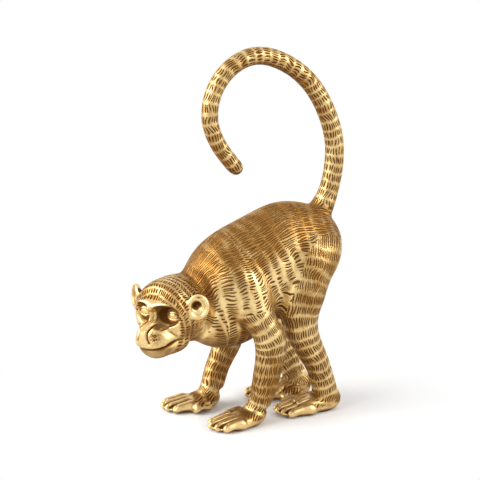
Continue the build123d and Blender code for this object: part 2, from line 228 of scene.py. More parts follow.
# one skin over all the castings, with the creases at the seams filled as on a chased casting
castings = ["trunk", "head", "tail", "left_arm", "right_arm", "left_leg", "right_leg"]
fillings = [name for name in frame["nodes"] if name.endswith("_pin") or name == "core_plug"]
body = copyOfNodes(castings + fillings, "wholeBody")
runModifier(body, "REMESH", mode="VOXEL", voxel_size=skin["coarseVoxel"] * millimetre)
keepOuterSkin(body)
print("one skin:", len(body.data.vertices), "vertices")

edges = edgesOf(body)
places = placesOf(body)


def turned(x, y, degrees):
    # sideways and ahead for something that looks along -y and is turned; and back again
    turn = math.radians(degrees)
    return x * math.cos(turn) + y * math.sin(turn), x * math.sin(turn) - y * math.cos(turn)


def headFrame(places):
    # left, forward and up from the middle of the head, in mm
    x, y, up = (places - np.array(head["middle"])).T
    return np.stack([*turned(x, y, head["turn"]), up], 1)


def nearEars(inHead, box):
    aside, ahead, lowest = box
    return (np.abs(inHead[:, 0]) > aside) * (np.abs(inHead[:, 1]) < ahead) * (inHead[:, 2] > lowest)


inHead = headFrame(places)
onFace = smoothStep(*skin["faceStart"], inHead[:, 1]) * (np.abs(inHead).max(1) < skin["headReach"])
onEars = nearEars(inHead, skin["earRoots"]) * (places[:, 1] < skin["headRear"])
onPaws = 1 - smoothStep(*skin["pawTops"], places[:, 2])
fillShare = (1 - onFace) * (1 - onEars) * (1 - onPaws)
fromNeck = (places - np.array(skin["neck"])) @ np.array(skin["neckHeading"])
atNeck = np.exp(-(fromNeck / skin["neckWidth"]) ** 2) * (places[:, 1] < skin["neckRear"])
radii = skin["filletRadius"] + atNeck * (skin["neckRadius"] - skin["filletRadius"])
valleyStep = skin["coarseVoxel"] ** 2 / (4 * radii)
for _ in range(skin["filletRounds"]):
    setPlaces(body, places)
    normals = normalsOf(body)
    for _ in range(skin["stepsPerRound"]):
        lift = ((neighbourMean(places, edges) - places) * normals).sum(1)
        places = places + normals * (np.maximum(lift - valleyStep, 0) * fillShare)[:, None]
places = smoothed(places, edges, skin["softenAfter"])
setPlaces(body, places)
print("creases filled")


# rows of fur: where a place lies along and around its casting
def smoothLine(points, perSpan=6):
    knots = np.array(points, float)
    padded = np.vstack([2 * knots[0] - knots[1], knots, 2 * knots[-1] - knots[-2]])
    line = []
    for k in range(len(knots) - 1):
        p0, p1, p2, p3 = padded[k:k + 4]
        for step in range(perSpan):
            t = step / perSpan
            line.append(0.5 * (2 * p1 + (p2 - p0) * t + (2 * p0 - 5 * p1 + 4 * p2 - p3) * t ** 2
                               + (3 * p1 - p0 - 3 * p2 + p3) * t ** 3))
    line.append(knots[-1])
    return np.array(line)


def alongLine(places, points, firstSide, aspect=1.0):
    # length along the line in mm, turn around it from 0 to 1, and distance from it in mm
    line = smoothLine(points)
    spans = line[1:] - line[:-1]
    lengths = np.linalg.norm(spans, axis=1)
    heads = spans / lengths[:, None]
    starts = np.concatenate([[0], np.cumsum(lengths)])
    side = np.array(firstSide, float)
    sides = []
    for heading in heads:
        side = side - heading * (side @ heading)
        side = side / np.linalg.norm(side)
        sides.append(side)
    nearest = np.full(len(places), np.inf)
    length = np.zeros(len(places))
    turn = np.zeros(len(places))
    for k, heading in enumerate(heads):
        offset = places - line[k]
        raw = offset @ heading
        low = -np.inf if k == 0 else 0
        high = np.inf if k == len(heads) - 1 else lengths[k]
        t = np.clip(raw, low, high)
        away = offset - t[:, None] * heading
        distance = np.linalg.norm(away, axis=1)
        closer = distance < nearest
        nearest[closer] = distance[closer]
        length[closer] = (starts[k] + t)[closer]
        across = np.cross(heading, sides[k])
        turn[closer] = (np.arctan2(away @ across * aspect, away @ sides[k]) / (2 * math.pi))[closer]
    return length, turn % 1, nearest


def aroundFace(places):
    # the head's rows are rings around the face
    left, forward, up = (headFrame(places) - np.array(head["furMiddle"])).T
    forward, down = turned(forward, up, head["furTilt"])
    away = np.hypot(left, down)
    return np.arctan2(away, forward) * head["furRadius"], (np.arctan2(left, -down) / (2 * math.pi)) % 1, away


fur = {
    "halfWidth": 0.29,  # of a stroke, as a share of the space from one to the next
    "edge": 0.2,
    "start": 0.06,  # along its row, from 0 to 1
    "startSpread": 0.26,
    "reach": 0.52,
    "reachSpread": 0.26,
    "denseReach": 0.38,
    "asideShare": 0.35,
    "slant": 0.8,
    "closeFactor": 2.6,  # close fur leaves no gap between two rows
    "closeOffset": -1.7,
    "closeArch": 0.22,
    "closeSlant": 0.7,
    "wander": 1.2,
    "wanderScale": 0.11,
    "rowWarps": [(0.045, 0.35), (0.16, 0.12)],
    "phaseStep": 0.618,
    "cellNumbers": [(0.754877, 0.0931, 0.56984, 0.0137), (0.31767, 0.0713, 0.86119, 0.0291),
                    (0.569151, 0.0457, 0.22741, 0.0173), (0.43871, 0.0593, 0.66203, 0.0217)],
    "strokeDepth": 0.36,  # mm
    "bandDepth": 0.1,
    "bandMiddle": 0.5,
    "bandHalf": 0.44,
    "bandEdge": 0.2,
    "seamBlend": 13.0,  # mm over which the trunk's strokes run on over a limb
    "armTop": (88.0, 98.0),
    "borderSharp": 6.0,
    "borderThinning": 5.0,
    "backCrowding": 0.3,
    "tableReach": 2.5,
    "leastStrokes": 8,
}

numberSteps = {
    "ADD": lambda a, b: a + b, "SUBTRACT": lambda a, b: a - b, "MULTIPLY": lambda a, b: a * b,
    "DIVIDE": lambda a, b: a / b, "MULTIPLY_ADD": lambda a, b, c: a * b + c, "FLOOR": np.floor,
    "FRACT": lambda a: a - np.floor(a), "ABSOLUTE": np.abs, "SQRT": np.sqrt,
    "MINIMUM": np.minimum, "MAXIMUM": np.maximum,
}


def calcNumbers(step, *values, clamp=False):
    result = numberSteps[step](*values)
    return np.clip(result, 0, 1) if clamp else result


def closeness(calc, dense):
    # above 0 where the fur is so close that no gap is left between two rows
    return calc("MULTIPLY_ADD", dense, fur["closeFactor"], fur["closeOffset"], clamp=True)


def strokeMask(calc, rows, turns, dense, share, edge):
    # calc works on numbers for the mesh, and makes nodes for the gold, so that both agree
    along, around = calc("FLOOR", rows), calc("FLOOR", turns)
    inRow = calc("SUBTRACT", rows, along)
    product, square = calc("MULTIPLY", around, along), calc("MULTIPLY", around, around)

    def cellNumber(which):
        a, b, c, d = fur["cellNumbers"][which]
        total = calc("MULTIPLY", around, a)
        total = calc("MULTIPLY_ADD", product, b, total)
        total = calc("MULTIPLY_ADD", along, c, total)
        return calc("FRACT", calc("MULTIPLY_ADD", square, d, total))

    place = cellNumber(0)
    aside = calc("SUBTRACT", calc("SUBTRACT", turns, around), 0.5)
    aside = calc("MULTIPLY_ADD", calc("SUBTRACT", place, 0.5), fur["asideShare"], aside)
    lean = calc("MULTIPLY", calc("SUBTRACT", cellNumber(3), 0.5),
                calc("MULTIPLY_ADD", closeness(calc, dense), fur["closeSlant"], fur["slant"]))
    aside = calc("MULTIPLY_ADD", calc("SUBTRACT", inRow, 0.5), lean, aside)
    start = calc("MULTIPLY_ADD", cellNumber(1), fur["startSpread"], fur["start"])
    start = calc("MULTIPLY", start, calc("SUBTRACT", 1.0, dense))
    reach = calc("MULTIPLY_ADD", cellNumber(2), fur["reachSpread"], fur["reach"])
    reach = calc("MULTIPLY_ADD", dense, fur["denseReach"], reach)
    reach = calc("MINIMUM", reach, calc("SUBTRACT", 1.0, start))
    t = calc("DIVIDE", calc("SUBTRACT", inRow, start), reach, clamp=True)
    arch = calc("MULTIPLY", calc("MULTIPLY", t, calc("SUBTRACT", 1.0, t)), 4.0)
    arch = calc("MAXIMUM", arch, calc("MULTIPLY", closeness(calc, dense), fur["closeArch"]))
    half = calc("MULTIPLY", calc("SQRT", arch), fur["halfWidth"])
    stroke = calc("DIVIDE", calc("SUBTRACT", half, calc("ABSOLUTE", aside)), edge, clamp=True)
    # towards a border more and more strokes are left out
    shown = calc("MULTIPLY", share, fur["borderThinning"] + 1)
    shown = calc("MULTIPLY_ADD", place, -fur["borderThinning"], shown, clamp=True)
    return calc("MULTIPLY", stroke, shown)


def rowBand(calc, rows):
    # 1 in the middle of a row of strokes, 0 in the plain gap between two rows
    inRow = calc("FRACT", rows)
    away = calc("ABSOLUTE", calc("SUBTRACT", inRow, fur["bandMiddle"]))
    return calc("DIVIDE", calc("SUBTRACT", fur["bandHalf"], away), fur["bandEdge"], clamp=True)


def allStrokes(calc, layouts, dense, cover, ownShare, edge):
    # a limb's own strokes, and those of the trunk that run on over its root
    side = calc("MULTIPLY", calc("SUBTRACT", ownShare, 0.5), fur["borderSharp"])
    shares = (calc("ADD", 0.5, side, clamp=True), calc("SUBTRACT", 0.5, side, clamp=True))
    masks = [strokeMask(calc, rows, turns, dense, calc("MINIMUM", share, cover), edge)
             for (rows, turns), share in zip(layouts, shares)]
    return calc("MAXIMUM", *masks)


# the face in the head's frame (left, forward, up), in mm; most pairs are where something starts and ends
face = {
    "middle": 1.2, "noseTop": -2.2, "noseTip": -4.0, "noseHeights": (-8, 4),  # off the head's own middle
    "farSide": 1.3, "start": (1, 6), "grooveStart": (6, 9), "soften": (2, 0.3),
}
sockets = {
    "plane": 17.3, "planeBend": 0.012, "aside": (11.2, 9.6), "width": (7.6, 10.9),  # far side, near side
    "up": 2.0, "height": 8.0, "depth": 5.6, "steepness": 0.6, "border": (1.0, 1.2),
    "shallower": 0.75, "shallowFrom": (12, 20), "shadeFrom": (15, 20), "stainAndShade": 1.6,
}
eyes = {
    "aside": 12.6, "ahead": 8.0, "up": 2.2, "radius": 6.1, "lids": (4.7, 2.3), "lidRise": 0.65,
    "lidEdge": (0.9, 1.12), "slit": 0.92, "slitWidth": 0.12, "slitDepth": 0.3,
    "ballCore": 5, "ballShade": 0.15, "lidShade": 0.6,
}
nose = {
    "width": 1.9, "rise": 3.0, "bottom": (-9, -5), "top": (7, 12),
    "tipUp": -7, "tipWidth": 4, "tipHeight": 2.4, "tipRise": 0.9,
}
brow = {"up": 12.7, "bend": 0.045, "aside": 8, "height": 2.3, "rise": 1.3, "ends": (15, 21)}
jaws = {
    "mouthUp": -22.9, "mouthBend": 0.013, "edge": (-1.3, 0.5), "start": (8, 20),
    "setBack": 2.1, "chin": 9, "chinEdge": (-2, 3), "stainAndShade": 0.65,
}
ears = {
    "aside": 28.0, "up": 8.0, "turn": 40.0, "size": (9.25, 10.5), "reach": 1.3,
    "front": (-1.5, 1.0), "root": (-7, -4.5), "dip": 1.4, "rim": (0.5, 0.8),
    "hole": (-1.0, 1.4), "holeSize": 3.9, "holeEdge": (0.55, 1.1), "holeDepth": 1.5,
    "fold": (0.4, 8.0), "foldSize": (2.4, 1.1), "foldDepth": 0.8, "foldShade": 0.9,
    "farRim": (0.5, 0.85), "farEarShade": 0.6,
}
whiskerPad = {
    "aside": 11.0, "width": 5.2, "up": -12, "height": 4.6, "start": (16, 21),
    "grainScale": 0.9, "depth": 0.5, "pits": 0.5, "stainAndShade": 0.8, "pitStain": 0.8,
}
faceWash = {"level": 0.2, "grain": 0.25, "grooveSpread": 1.1}

# grooves (sideways from the nose, up), each with its width, depth and painted shade
faceGrooves = {
    "mouth": ([(0, -22.9), (9.2, -22.6), (14.6, -21.5), (18.3, -20), (20.2, -17.4)], 1.0, 2.0, 1.0),
    "lipLine": ([(6.2, -5.0), (5.0, -7.4), (4.4, -10.5), (4.7, -14.0), (6.6, -17.4)], 0.8, 1.5, 1.0),
    "nostril": ([(6.0, -5.6), (4.9, -8.0)], 1.1, 1.6, 1.0),
    "browEdge": ([(0, 15.4), (8, 17.2), (15, 14.6), (20.5, 8.5)], 1.0, 0.4, 0.3),
    "cheekFold": ([(14.5, -6.2), (20.0, -3.2), (24.0, 1.0)], 1.0, 0.4, 0.35),
    "muzzleEdge": ([(13.0, -7.0), (18.2, -9.6), (21.0, -13.0), (21.4, -17.0)], 1.0, 0.5, 0.4),
}


def toGroove(across, up, points):
    line = np.array(points, float)
    flat = np.stack([across, up], 1)
    nearest = np.full(len(flat), np.inf)
    for first, second in zip(line[:-1], line[1:]):
        span = second - first
        t = np.clip((flat - first) @ span / (span @ span), 0, 1)
        nearest = np.minimum(nearest, np.linalg.norm(flat - first - t[:, None] * span, axis=1))
    return nearest


def bell(offset, width):
    return np.exp(-(offset / width) ** 2)


def sinkEars(left, forward, up):
    # a rim round a hollow, with a deep hole and a fold above it; the hole, the fold and the far ear's hollow
    # are darkened as painted shade
    turn = math.radians(ears["turn"])
    aside, rise = np.abs(left) - ears["aside"], up - ears["up"]
    through = aside * math.sin(turn) + forward * math.cos(turn)
    outwards = aside * math.cos(turn) - forward * math.sin(turn)
    rim = np.hypot(outwards / ears["size"][0], rise / ears["size"][1])
    onEar = smoothStep(*ears["front"], through) * (rim < ears["reach"]) * smoothStep(*ears["root"], outwards)
    dip = ears["dip"] * (1 - smoothStep(*ears["rim"], rim))
    hole = np.hypot(outwards - ears["hole"][0], rise - ears["hole"][1]) / ears["holeSize"]
    hole = 1 - smoothStep(*ears["holeEdge"], hole)
    fold = bell(np.hypot((outwards - ears["fold"][0]) / ears["foldSize"][0],
                         (rise - ears["fold"][1]) / ears["foldSize"][1]), 1)
    dip = (dip + ears["holeDepth"] * hole + ears["foldDepth"] * fold) * onEar
    # painted shade in the ear's hole and fold
    stainAndShade = np.maximum(hole, fold * ears["foldShade"]) * onEar
    left = left - dip * math.sin(turn) * np.sign(left)
    farEar = onEar * (1 - smoothStep(*ears["farRim"], rim)) * (left < 0)
    return left, forward - dip * math.cos(turn), np.maximum(stainAndShade, ears["farEarShade"] * farEar)


def sculptFace(places, normalsAt):
    left, forward, up = headFrame(places).T
    lower = 1 - smoothStep(*face["noseHeights"], up)
    noseMiddle = face["noseTop"] + (face["noseTip"] - face["noseTop"]) * lower
    onFarSide = left < face["middle"]
    aside = np.abs(left - face["middle"])
    fromNose = np.abs(left - noseMiddle)
    ahead = smoothStep(*face["start"], forward)
    # deep sockets with the eyeballs in them
    plane = sockets["plane"] - sockets["planeBend"] * aside ** 2
    ring = np.hypot((aside - np.where(onFarSide, *sockets["aside"])) / np.where(onFarSide, *sockets["width"]),
                    (up - sockets["up"]) / sockets["height"])
    pit = np.clip(1 - ring ** 2, 0, 1) ** sockets["steepness"]
    eyeAside, eyeUp = aside - eyes["aside"], up - eyes["up"]
    inBall = eyes["radius"] ** 2 - eyeAside ** 2 - eyeUp ** 2
    ball = np.where(inBall > 0, eyes["ahead"] + np.sqrt(np.maximum(inBall, 0)), -np.inf)
    lid = np.hypot(eyeAside / eyes["lids"][0], eyeUp / eyes["lids"][1])
    ball = ball + eyes["lidRise"] * smoothStep(*eyes["lidEdge"], lid)
    ball = ball - eyes["slitDepth"] * bell(lid - eyes["slit"], eyes["slitWidth"])
    fullDepth = sockets["depth"] * (1 - sockets["shallower"] * smoothStep(*sockets["shallowFrom"], aside))
    target = np.maximum(plane - fullDepth * pit, ball)
    forward = forward + (target - forward) * (1 - smoothStep(*sockets["border"], ring)) * ahead
    # bridge and tip of the nose, and the brow
    alongNose = smoothStep(*nose["bottom"], up) * (1 - smoothStep(*nose["top"], up))
    forward = forward + nose["rise"] * bell(fromNose, nose["width"]) * alongNose * ahead
    tip = bell(fromNose, nose["tipWidth"]) * bell(up - nose["tipUp"], nose["tipHeight"])
    forward = forward + nose["tipRise"] * tip * ahead
    browLine = brow["up"] - brow["bend"] * (aside - brow["aside"]) ** 2
    browRise = bell(up - browLine, brow["height"]) * (1 - smoothStep(*brow["ends"], aside))
    forward = forward + brow["rise"] * browRise * ahead
    # the lower jaw lies behind the upper lip
    mouthUp = jaws["mouthUp"] + jaws["mouthBend"] * fromNose ** 2
    low, high = jaws["edge"]
    jaw = (1 - smoothStep(mouthUp + low, mouthUp + high, up)) * smoothStep(*jaws["start"], forward)
    onChin = 1 - smoothStep(*jaws["chinEdge"], mouthUp - jaws["chin"] - up)
    forward = forward - jaws["setBack"] * jaw * onChin
    left, forward, stainAndShade = sinkEars(left, forward, up)
    places = np.stack([*turned(left, forward, head["turn"]), up], 1) + np.array(head["middle"])
    # grooves, square to the surface
    normals = normalsAt(places)
    ahead = smoothStep(*face["grooveStart"], forward)
    across = np.where(left < noseMiddle, fromNose * face["farSide"], fromNose)
    depth = np.zeros(len(places))
    # painted shade in the eye sockets, lighter on the eyeballs and darker along the lids
    inSocket = np.clip(sockets["stainAndShade"] * pit, 0, 1) * (1 - smoothStep(*sockets["shadeFrom"], aside))
    inSocket = inSocket * np.where(inBall > eyes["ballCore"], eyes["ballShade"], 1.0)
    stainAndShade = np.maximum(stainAndShade, inSocket * ahead)
    stainAndShade = np.maximum(stainAndShade, eyes["lidShade"] * bell(lid - 1, eyes["slitWidth"]) * ahead * (inBall > 0))
    # painted shade along each groove
    for points, width, deep, dark in faceGrooves.values():
        away = toGroove(across, up, points)
        depth += deep * bell(away, width) * ahead
        stainAndShade = np.maximum(stainAndShade, dark * bell(away, width * faceWash["grooveSpread"]) * ahead)
    pad = bell(fromNose - whiskerPad["aside"], whiskerPad["width"])
    pad = pad * bell(up - whiskerPad["up"], whiskerPad["height"]) * smoothStep(*whiskerPad["start"], forward)
    grain = np.array([noise.noise(Vector(place) * whiskerPad["grainScale"]) for place in places.tolist()])
    depth += (whiskerPad["depth"] + whiskerPad["pits"] * np.maximum(grain, 0)) * pad
    stainAndShade = np.maximum(stainAndShade, (whiskerPad["stainAndShade"] + whiskerPad["pitStain"] * grain) * pad)
    # painted shadow on the lower jaw, under the upper lip
    stainAndShade = np.maximum(stainAndShade, jaws["stainAndShade"] * jaw)
    stainAndShade = np.maximum(stainAndShade, (faceWash["level"] + faceWash["grain"] * grain) * ahead)
    return places - normals * depth[:, None], stainAndShade


pieceSettings = {
    "trunk": {"voxel": 0.6, "rowPitch": 9.0, "strokePitch": 2.2, "first": (0, 0, 1), "aspect": 1.2,
              "cuts": [((0, -60, 0), (0, -1, 0)), ((0, 0, 190), (0, 0, 1)), ((0, 0, 55), (0, 0, -1))]},
    "head": {"voxel": 0.42, "rowPitch": 5.6, "strokePitch": 2.3, "cuts": [((1, -34, 90), (-0.29, 0.96, 0))]},
    "tail": {"voxel": 0.5, "rowPitch": 7.2, "strokePitch": 2.2, "first": (1, 0, 0),
             "cuts": [((0, 70, 146), (0, -0.5, -0.85))]},
}
for side, away in (("left", 1), ("right", -1)):
    pieceSettings[side + "_arm"] = {
        "voxel": 0.5, "rowPitch": 8.0, "strokePitch": 1.9, "first": (0, -1, 0),
        "cuts": [((8 * away, 0, 0), (-away, 0, 0)), ((0, 34, 0), (0, 1, 0)), ((0, 0, 140), (0, 0, 1))]}
    pieceSettings[side + "_leg"] = {
        "voxel": 0.5, "rowPitch": 8.4, "strokePitch": 1.9, "first": (0, -1, 0),
        "cuts": [((away, 0, 0), (-away, 0, 0)), ((0, 8, 0), (0, -1, 0)), ((0, 0, 158), (0, 0, 1))]}


def cutAway(piece, cuts):
    for place, outward in cuts:
        editAll(piece, lambda: bpy.ops.mesh.bisect(plane_co=Vector(place) * millimetre, plane_no=outward,
                                                   use_fill=True, clear_outer=True))


def treeOf(name):
    node = frame["nodes"][name].data
    vertices = [vertex.co.copy() for vertex in node.vertices]
    faces = [tuple(face.vertices) for face in node.polygons]
    return BVHTree.FromPolygons(vertices, faces)


trees = {name: treeOf(name) for name in castings}


def distancesTo(name, places, far=skin["measured"]):
    # only places in the casting's own box are measured, the others count as far
    low, high = (np.array(corner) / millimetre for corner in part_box(name))
    close = np.flatnonzero(((places > low - far) & (places < high + far)).all(1))
    distances = np.full(len(places), far)
    find = trees[name].find_nearest
    found = [find(place)[3] for place in (places[close] * millimetre).tolist()]
    distances[close] = np.minimum(np.array(found) / millimetre, far)
    return distances


# hands and feet: the ankle (side, rear), turn, heel, length and width in mm
paws = {
    "left_arm": {"ankle": (25.3, 2.2), "turn": 3, "heel": 5.8, "length": 47, "width": 25},
    "right_arm": {"ankle": (-27.5, -10.7), "turn": -7, "heel": 5.8, "length": 47, "width": 25},
    "left_leg": {"ankle": (21.6, 65.5), "turn": -1, "heel": 11.4, "length": 54, "width": 25},
    "right_leg": {"ankle": (-20.2, 63.0), "turn": -10, "heel": 11.4, "length": 54, "width": 25},
}
# fingers and toes: places across and reach, as shares of the paw's width and length
digits = {
    "arm": [(-0.37, 0.93), (-0.125, 1.00), (0.125, 0.97), (0.37, 0.88)],
    "leg": [(-0.35, 0.97), (-0.12, 1.00), (0.12, 0.97), (0.35, 0.91)],
    "splay": 1.05, "top": (-0.3, 0.2), "topHeights": (10, 15), "low": (12, 15), "soften": 2,
    "grooveWidth": 0.85, "grooveDepth": 1.5, "grooveStart": (0.47, 0.58), "grooveSide": (-0.6, 0.0),
    "nail": 2.1, "nailRim": 0.5, "nailBack": 1.6, "nailTop": (0.1, 0.4), "nailDepth": 0.45, "nailShade": 0.8,
    "backStart": (0.2, 0.35), "backEnd": (0.6, 0.8), "backTop": (0.3, 0.8), "backStain": 0.45, "stainAndShade": 0.25,
}


def inPaw(name, places):
    # place across the paw, and from the heel towards the tips, in mm
    paw = paws[name]
    across, ahead = turned(*(places[:, :2] - np.array(paw["ankle"])).T, paw["turn"])
    return across, paw["heel"] + ahead


def shapePaw(name, places, normalsAt, edges):
    # digits as in the casting, with grooves between them and nails
    paw = paws[name]
    top = smoothStep(*digits["top"], normalsAt(places)[:, 2])
    top = top * (1 - smoothStep(*digits["topHeights"], places[:, 2]))
    chosen = np.flatnonzero(top > 0.01)
    find = trees[name].find_nearest
    nearest = np.array([find(place)[0] for place in (places[chosen] * millimetre).tolist()]) / millimetre
    places = places.copy()
    places[chosen] += (nearest - places[chosen]) * top[chosen, None]
    places = smoothed(places, edges, digits["soften"])
    across, along = inPaw(name, places)
    share = along / paw["length"]
    low = 1 - smoothStep(*digits["low"], places[:, 2])
    normals = normalsAt(places)
    spots = [(place * paw["width"] * digits["splay"], reach * paw["length"])
             for place, reach in digits[name[-3:]]]
    grooves = np.zeros(len(places))
    onGrooves = smoothStep(*digits["grooveStart"], share) * smoothStep(*digits["grooveSide"], normals[:, 2])
    for first, second in zip(spots[:-1], spots[1:]):
        groove = bell(across - (first[0] + second[0]) / 2, digits["grooveWidth"])
        grooves = np.maximum(grooves, groove * onGrooves)
    nails = np.zeros(len(places))
    for place, reach in spots:
        away = np.hypot(across - place, along - reach + digits["nailBack"])
        rim = bell(away - digits["nail"], digits["nailRim"])
        nails = np.maximum(nails, rim * smoothStep(*digits["nailTop"], normals[:, 2]))
    back = smoothStep(*digits["backStart"], share) * (1 - smoothStep(*digits["backEnd"], share))
    back = digits["backStain"] * back * smoothStep(*digits["backTop"], normals[:, 2])
    # painted shade in the grooves between the digits and round the nails
    stainAndShade = np.maximum(np.maximum(grooves, digits["nailShade"] * nails), np.maximum(back, digits["stainAndShade"]))
    sink = (digits["grooveDepth"] * grooves + digits["nailDepth"] * nails) * low
    return places - normals * sink[:, None], stainAndShade * low


def rowsOf(name, places):
    if name == "head":
        length, turn, radius = aroundFace(places)
    else:
        length, turn, radius = alongLine(places, centreLines[name], pieceSettings[name]["first"],
                                         pieceSettings[name].get("aspect", 1))
    if name == "trunk":
        # closer together on the back than under the belly
        turn = turn + fur["backCrowding"] * np.sin(turn * 2 * math.pi) / (2 * math.pi)
    warp = [sum(noise.noise(place * scale) * size for scale, size in fur["rowWarps"])
            for place in map(Vector, places.tolist())]
    return length / pieceSettings[name]["rowPitch"] + np.array(warp), turn, radius


def strokeTable(name):
    # how many strokes each row holds around its casting
    near = bodyPlaces[distancesTo(name, bodyPlaces) < fur["tableReach"]]
    rows, turn, radius = rowsOf(name, near)
    index = np.floor(rows).astype(int)
    lowest = index.min()
    members = np.bincount(index - lowest)
    girth = 2 * math.pi * np.bincount(index - lowest, weights=radius) / np.maximum(members, 1)
    return lowest, np.maximum(np.round(girth / pieceSettings[name]["strokePitch"]), fur["leastStrokes"])


def addLayout(piece, title, name, places):
    # a layout of the piece in rows and strokes, and the same two numbers for each vertex
    rows, turn, radius = rowsOf(name, places)
    lowest, strokes = strokeTables[name]
    phase = (np.arange(len(strokes)) * fur["phaseStep"]) % 1
    wander = np.array([noise.noise(Vector(place) * fur["wanderScale"]) for place in places.tolist()])
    wander = wander * fur["wander"]
    mesh = piece.data
    corners = np.empty(len(mesh.loops), np.int32)
    mesh.loops.foreach_get("vertex_index", corners)
    starts = np.empty(len(mesh.polygons), np.int32)
    mesh.polygons.foreach_get("loop_start", starts)
    sizes = np.empty(len(mesh.polygons), np.int32)
    mesh.polygons.foreach_get("loop_total", sizes)
    faceOf = np.repeat(np.arange(len(sizes)), sizes)
    cornerRows = rows[corners]
    faceRow = np.floor(np.bincount(faceOf, weights=cornerRows) / sizes).astype(int)
    inTable = np.clip(faceRow - lowest, 0, len(strokes) - 1)[faceOf]
    firstTurn = turn[corners[starts]][faceOf]
    cornerTurn = firstTurn + (turn[corners] - firstTurn + 0.5) % 1 - 0.5
    layout = mesh.uv_layers.new(name=title)
    flat = np.stack([cornerRows, cornerTurn * strokes[inTable] + phase[inTable] + wander[corners]], 1)
    layout.data.foreach_set("uv", flat.astype(np.float32).ravel())
    inTable = np.clip(np.floor(rows).astype(int) - lowest, 0, len(strokes) - 1)
    return rows, turn * strokes[inTable] + phase[inTable] + wander


# where the fur lies, with heights in mm, and how close it is, from 0 to 1
coat = {
    "back": (0.0, 0.6), "belly": (-0.985, -0.9), "rump": (3, 7),
    "throatRear": (-38, -31), "throatTop": (81, 88),
    "head": 0.55, "tail": 0.5,
    "arm": 0.38, "forearm": 0.44, "elbow": (48, 74), "wrist": (14, 24),
    "leg": 0.45, "thigh": 0.35, "knee": (70, 100),
    "digits": (0.42, 0.54), "pawTop": (16, 22), "sole": (4, 8),
}


def coverOf(name, places, bodyTurn, bodyRadius):
    height = places[:, 2]
    upward = np.cos(bodyTurn * 2 * math.pi)
    cover = np.ones(len(places))
    dense = np.full(len(places), coat.get(name, 0.0))
    if name == "trunk":
        # none down the middle of the belly, under the tail and on the throat
        throat = 1 - smoothStep(*coat["throatRear"], places[:, 1])
        throat = throat * (1 - smoothStep(*coat["throatTop"], height))
        cover = smoothStep(*coat["belly"], upward) * smoothStep(*coat["rump"], bodyRadius) * (1 - throat)
        dense = smoothStep(*coat["back"], upward)
    if name == "head":
        inHead = headFrame(places)
        ear = nearEars(inHead, head["ears"]) * smoothStep(*head["earRoot"], np.abs(inHead[:, 0]))
        cover = smoothStep(*head["furStart"], aroundFace(places)[0]) * (1 - ear)
    if name in paws:
        share = inPaw(name, places)[1] / paws[name]["length"]
        onDigits = smoothStep(*coat["digits"], share) * (1 - smoothStep(*coat["pawTop"], height))
        cover = smoothStep(*coat["sole"], height) * (1 - onDigits)
    if name.endswith("arm"):
        belowElbow = (1 - smoothStep(*coat["elbow"], height)) * smoothStep(*coat["wrist"], height)
        dense = coat["arm"] + coat["forearm"] * belowElbow
    if name.endswith("leg"):
        dense = coat["leg"] + coat["thigh"] * smoothStep(*coat["knee"], height)
    return cover, dense


limbsBeside = {"left_arm": "left_leg", "left_leg": "left_arm",
               "right_arm": "right_leg", "right_leg": "right_arm"}


def seamSides(name, places, edges):
    # above 0 on this casting's side of its seams, and the share of its own strokes
    measured, clip = skin["measured"], skin["seamClip"]
    rivals = [rival for rival in castings if rival != name] if name == "trunk" else ["trunk"]
    blend = measured if name == "trunk" else fur["seamBlend"]
    other = np.min([distancesTo(rival, places, blend) for rival in rivals], axis=0)
    if name == "trunk":
        # whole millimetres hold the trunk's rim just inside those of the others
        other = np.floor(other)
    away = distancesTo(name, places, skin["ownReach"])
    own = np.where(other < measured, np.minimum(away, measured), 0)
    belongs = np.where(away > skin["ownReach"] - 0.1, -clip, np.clip(other - own, -clip, clip))
    if name in limbsBeside:
        # an elbow comes so close to the thigh that the one skin joins them
        beside = distancesTo(limbsBeside[name], places) - np.minimum(away, measured)
        belongs = np.minimum(belongs, np.clip(beside, -clip, clip))
    # the strokes of the trunk run on over the roots of the others
    ownShare = np.ones(len(places))
    if name != "trunk":
        ownShare = smoothed(smoothStep(1.0, blend - 1, other), edges, skin["ownSoftenRounds"])
    if name.endswith("arm"):
        ownShare = np.minimum(ownShare, 1 - smoothStep(*fur["armTop"], places[:, 2]))
    if name == "head":
        ownShare = np.where(nearEars(headFrame(places), head["ears"]), 1, ownShare)
    return smoothed(belongs, edges, skin["seamSoftenRounds"]), ownShare


finish = {
    "gold": (0.95, 0.71, 0.33),
    "washAndShade": (0.37, 0.185, 0.046),
    "patina": (0.1, 0.034, 0.005),
    # how much brown wash each of these brings; valleys and stained places also bring painted shade
    "leastWash": 0.07, "denseWash": 0.62, "bandWash": 0.3, "valleyShadeWash": 0.8, "stainShadeWash": 0.9,
    "cloudWash": 1.3, "grainWash": 0.5,
    # dark patina in strokes, patina and painted shade in hollows, stains and painted shade in stained places,
    # and painted shade on downward faces
    "strokeDark": 0.88, "closeDark": -0.25, "hollowDark": 0.7, "stainShadeDark": (2.2, -1.1), "strokeEdge": 0.13,
    # painted shade: how much the downward faces are darkened
    "underShade": 0.75, "under": (0.0, 0.9),
    "hollowRounds": 8, "hollowDepth": 0.12, "valleyRounds": 40, "valleyDepth": 0.6,
    "darkMetal": -0.08, "roughness": 0.33, "darkRough": 0.3, "washRough": 0.12,
    "cloud": (90, 5), "grain": (700, 3),
    "bump": 0.0005, "strokeBump": -0.9, "cloudBump": 0.5, "grainBump": 0.14,
    "bandEase": 0.6,
}


